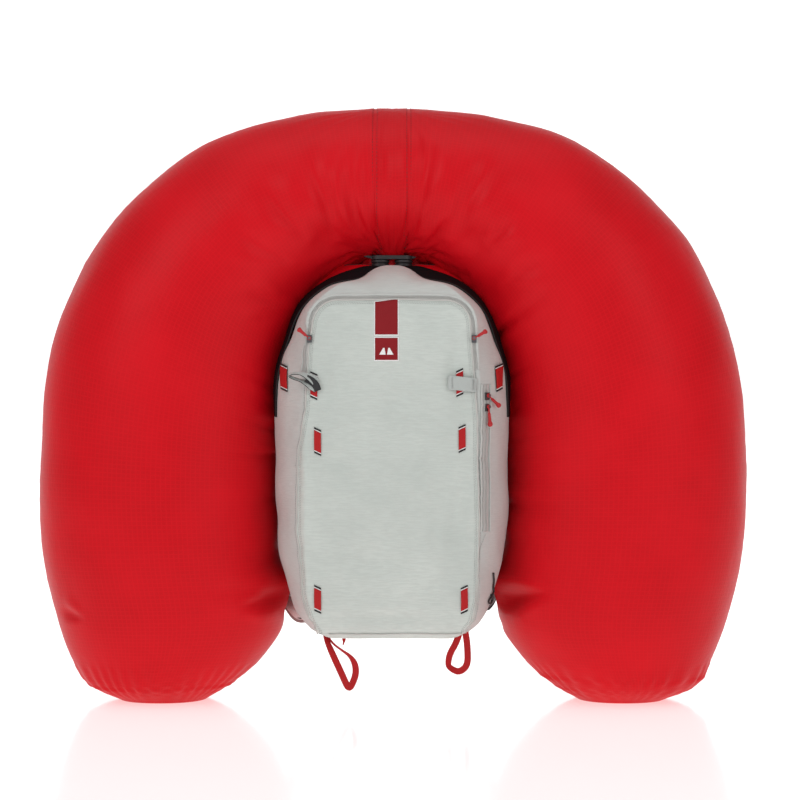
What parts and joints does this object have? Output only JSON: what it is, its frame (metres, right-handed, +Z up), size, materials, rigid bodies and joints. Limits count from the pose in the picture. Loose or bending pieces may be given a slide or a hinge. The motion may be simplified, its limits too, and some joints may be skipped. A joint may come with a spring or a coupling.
{
  "type": "avalanche airbag backpack",
  "caption": "Light ski-touring backpack with a deployed twin-chamber avalanche airbag standing in an arch around it, its gas system, trigger, zips and harness.",
  "frame": {"origin": "on the floor under the middle of the inflated object", "axes": "+Z up, +X to the wearer's right, +Y from the pack towards the wearer's chest; the pack's front faces -Y"},
  "size_m": [0.982, 0.3892, 0.821],
  "materials": {
    "airbag_fabric": "coated ripstop nylon, satin",
    "airbag_band_fabric": "coated ripstop nylon, satin",
    "front_fabric": "light ripstop nylon, matt",
    "side_fabric": "light ripstop nylon, matt",
    "black_fabric": "black nylon, matt",
    "back_mesh": "moulded foam under mesh",
    "strap_fabric": "padded mesh and nylon",
    "red_webbing": "woven webbing",
    "grey_webbing": "woven webbing",
    "black_webbing": "woven webbing",
    "stripe_red": "woven patch",
    "pull_cord": "braided cord",
    "black_plastic": "moulded nylon",
    "frame_plastic": "extruded sheet",
    "trigger_red": "moulded",
    "zip_chain": "coil zip",
    "zip_metal": "die cast, painted",
    "stay_aluminium": "drawn",
    "head_aluminium": "anodised",
    "cartridge_aluminium": "drawn and painted",
    "hose_rubber": "braided hose",
    "striker_steel": "ground"
  },
  "bodies": {
    "root": {"airbag_chamber_left": "airbag_fabric", "airbag_chamber_right": "airbag_fabric", "airbag_centre_band": "airbag_band_fabric", "gas_neck_left": "black_plastic", "gas_neck_right": "black_plastic", "clamp_flange": "black_plastic", "firing_head": "head_aluminium", "gas_cartridge": "cartridge_aluminium", "gas_hoses": "hose_rubber", "trigger_dock": "black_plastic", "trigger_cable": "hose_rubber", "front_panel": "front_fabric", "side_gusset_left": "side_fabric", "side_gusset_right": "side_fabric", "crown_panel": "side_fabric", "bottom_panel": "side_fabric", "back_wall": "black_fabric", "back_foam": "back_mesh", "frame_sheet": "frame_plastic", "frame_stay": "stay_aluminium", "compartment_cover": "black_fabric", "burst_zip": "zip_chain", "zip_chains": "zip_chain", "stripe_lower": "stripe_red", "shoulder_strap_left": "strap_fabric", "shoulder_strap_right": "strap_fabric", "strap_webbing": "black_webbing", "ladder_locks": "black_plastic", "sternum_rails": "black_plastic", "gear_tabs": "red_webbing"},
    "top_flap": {"top_flap": "front_fabric", "stripe_upper": "stripe_red"},
    "check_valve_left": {"check_valve_left": "black_plastic"},
    "check_valve_right": {"check_valve_right": "black_plastic"},
    "striker": {"striker": "striker_steel", "striker_spring": "striker_steel"},
    "trigger": {"trigger_handle": "trigger_red"},
    "arch_slider_left": {"arch_slider_left": "zip_metal"},
    "arch_slider_right": {"arch_slider_right": "zip_metal"},
    "arch_pull_left": {"arch_pull_left": "pull_cord"},
    "arch_pull_right": {"arch_pull_right": "pull_cord"},
    "side_slider_upper": {"side_slider_upper": "zip_metal"},
    "side_slider_lower": {"side_slider_lower": "zip_metal"},
    "side_pull_upper": {"side_pull_upper": "pull_cord"},
    "side_pull_lower": {"side_pull_lower": "pull_cord"},
    "sternum_left": {"sternum_slider_left": "black_plastic", "sternum_web_left": "black_webbing", "sternum_buckle_female": "black_plastic"},
    "sternum_right": {"sternum_slider_right": "black_plastic", "sternum_web_right": "black_webbing"},
    "sternum_male": {"sternum_buckle_male": "black_plastic"},
    "hip_left": {"hip_wing_left": "strap_fabric", "hip_buckle_female": "black_plastic"},
    "hip_right": {"hip_wing_right": "strap_fabric", "hip_buckle_male": "black_plastic"},
    "haul_loop": {"haul_loop": "red_webbing"},
    "ski_strap_left": {"ski_strap_left": "grey_webbing"},
    "ski_strap_right": {"ski_strap_right": "grey_webbing"},
    "bottom_loop_left": {"bottom_loop_left": "red_webbing"},
    "bottom_loop_right": {"bottom_loop_right": "red_webbing"}
  },
  "joints": [
    {"name": "flap_fold", "type": "hinge", "parent": "root", "child": "top_flap", "pos_m": [0, -0.1768, 0.4993], "axis": [1, 0, 0], "range_deg": [0, 110]},
    {"name": "valve_left", "type": "slide", "parent": "root", "child": "check_valve_left", "axis": [0, 0, 1], "range_m": [0, 0.003], "stiffness_N_per_m": 60},
    {"name": "valve_right", "type": "slide", "parent": "root", "child": "check_valve_right", "axis": [0, 0, 1], "range_m": [0, 0.003], "stiffness_N_per_m": 60},
    {"name": "trigger_pull", "type": "slide", "parent": "root", "child": "trigger", "axis": [-0.0482, 0.343, -0.9381], "range_m": [0, 0.035]},
    {"name": "striker_drop", "type": "slide", "parent": "root", "child": "striker", "axis": [0, 0, -1], "range_m": [0, 0.006], "deforming": ["striker_spring"]},
    {"name": "arch_zip_left", "type": "slide", "parent": "root", "child": "arch_slider_left", "axis": [0, 0, 1], "range_m": [0, 0.012]},
    {"name": "arch_pull_turn_left", "type": "hinge", "parent": "arch_slider_left", "child": "arch_pull_left", "pos_m": [-0.1091, -0.1819, 0.497], "axis": [0, -1, 0], "range_deg": [-30, 110]},
    {"name": "arch_zip_right", "type": "slide", "parent": "root", "child": "arch_slider_right", "axis": [0, 0, 1], "range_m": [0, 0.012]},
    {"name": "arch_pull_turn_right", "type": "hinge", "parent": "arch_slider_right", "child": "arch_pull_right", "pos_m": [0.1091, -0.1819, 0.497], "axis": [0, -1, 0], "range_deg": [-110, 30]},
    {"name": "side_zip_upper", "type": "slide", "parent": "root", "child": "side_slider_upper", "axis": [0, 0, 1], "range_m": [0, 0.01]},
    {"name": "side_pull_turn_upper", "type": "hinge", "parent": "side_slider_upper", "child": "side_pull_upper", "pos_m": [0.12895, -0.17004, 0.421], "axis": [0.7542, -0.6567, 0], "range_deg": [-15, 90]},
    {"name": "side_zip_lower", "type": "slide", "parent": "root", "child": "side_slider_lower", "axis": [0, 0, 1], "range_m": [-0.155, 0]},
    {"name": "side_pull_turn_lower", "type": "hinge", "parent": "side_slider_lower", "child": "side_pull_lower", "pos_m": [0.12895, -0.17004, 0.406], "axis": [0.7542, -0.6567, 0], "range_deg": [-60, 30]},
    {"name": "sternum_height_left", "type": "slide", "parent": "root", "child": "sternum_left", "axis": [0, 0, 1], "range_m": [-0.018, 0.018]},
    {"name": "sternum_height_right", "type": "slide", "parent": "root", "child": "sternum_right", "axis": [0, 0, 1], "range_m": [-0.018, 0.018]},
    {"name": "sternum_unclip", "type": "slide", "parent": "sternum_right", "child": "sternum_male", "axis": [1, 0, 0], "range_m": [0, 0.022]},
    {"name": "hip_swing_left", "type": "hinge", "parent": "root", "child": "hip_left", "pos_m": [-0.1, 0.021, 0.16], "axis": [0, 0, -1], "range_deg": [-5, 25]},
    {"name": "hip_swing_right", "type": "hinge", "parent": "root", "child": "hip_right", "pos_m": [0.1, 0.021, 0.16], "axis": [0, 0, 1], "range_deg": [-5, 25]},
    {"name": "haul_loop_fold", "type": "hinge", "parent": "root", "child": "haul_loop", "pos_m": [0, 0.0111, 0.5086], "axis": [-1, 0, 0], "range_deg": [0, 75]},
    {"name": "ski_strap_swing_left", "type": "hinge", "parent": "root", "child": "ski_strap_left", "pos_m": [-0.113, -0.1775, 0.437], "axis": [0, 0, 1], "range_deg": [-40, 5]},
    {"name": "ski_strap_swing_right", "type": "hinge", "parent": "root", "child": "ski_strap_right", "pos_m": [0.113, -0.1775, 0.437], "axis": [0, 0, 1], "range_deg": [0, 100]},
    {"name": "bottom_loop_swing_left", "type": "hinge", "parent": "root", "child": "bottom_loop_left", "pos_m": [0, -0.128, 0.096], "axis": [1, 0, 0], "range_deg": [-50, 50]},
    {"name": "bottom_loop_swing_right", "type": "hinge", "parent": "root", "child": "bottom_loop_right", "pos_m": [0, -0.128, 0.096], "axis": [1, 0, 0], "range_deg": [-50, 50]}
  ],
  "couplings": [
    {"joint": "striker_drop", "follows": "trigger_pull", "ratio": 0.17143},
    {"joint": "sternum_height_right", "follows": "sternum_height_left", "ratio": 1}
  ]
}
